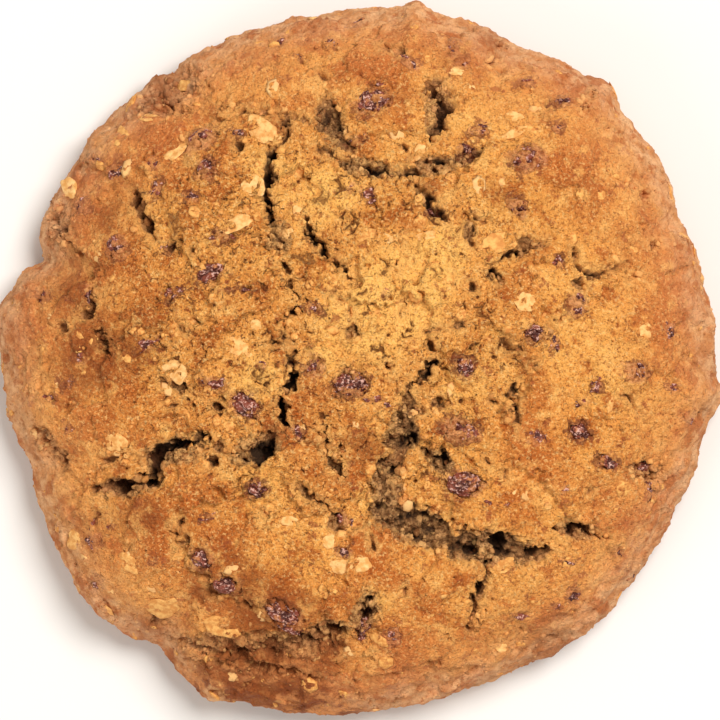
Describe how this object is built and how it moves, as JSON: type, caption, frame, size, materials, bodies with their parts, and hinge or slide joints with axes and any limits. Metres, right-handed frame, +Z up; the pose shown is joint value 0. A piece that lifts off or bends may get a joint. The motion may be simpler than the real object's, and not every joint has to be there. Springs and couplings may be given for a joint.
{
  "type": "oatmeal raisin cookie",
  "caption": "Thick round baked cookie with a cracked, domed crust, oat flakes baked into it and raisins sunk in it, flat underneath so that it lies on a plate or in a tin.",
  "frame": {"origin": "middle of the flat underside", "axes": "+Z up through the dome, +X and +Y across the round, with the deepest rift in the crust on the +X -Y side"},
  "size_m": [0.0858, 0.0842, 0.0213],
  "materials": {
    "crust": "golden-brown baked crust, dry and sandy, with torn olive-brown crumb inside the cracks and paler oat flakes",
    "raisin": "dark purple-brown raisin skin, wrinkled and slightly glossy"
  },
  "bodies": {
    "root": {"baked_dough": "crust", "raisin_01": "raisin", "raisin_02": "raisin", "raisin_03": "raisin", "raisin_04": "raisin", "raisin_05": "raisin", "raisin_06": "raisin", "raisin_07": "raisin", "raisin_08": "raisin", "raisin_09": "raisin", "raisin_10": "raisin", "raisin_11": "raisin", "raisin_12": "raisin", "raisin_13": "raisin", "raisin_14": "raisin", "raisin_15": "raisin", "raisin_16": "raisin", "raisin_17": "raisin", "raisin_18": "raisin", "raisin_19": "raisin", "raisin_20": "raisin", "raisin_21": "raisin", "raisin_22": "raisin"}
  },
  "joints": []
}
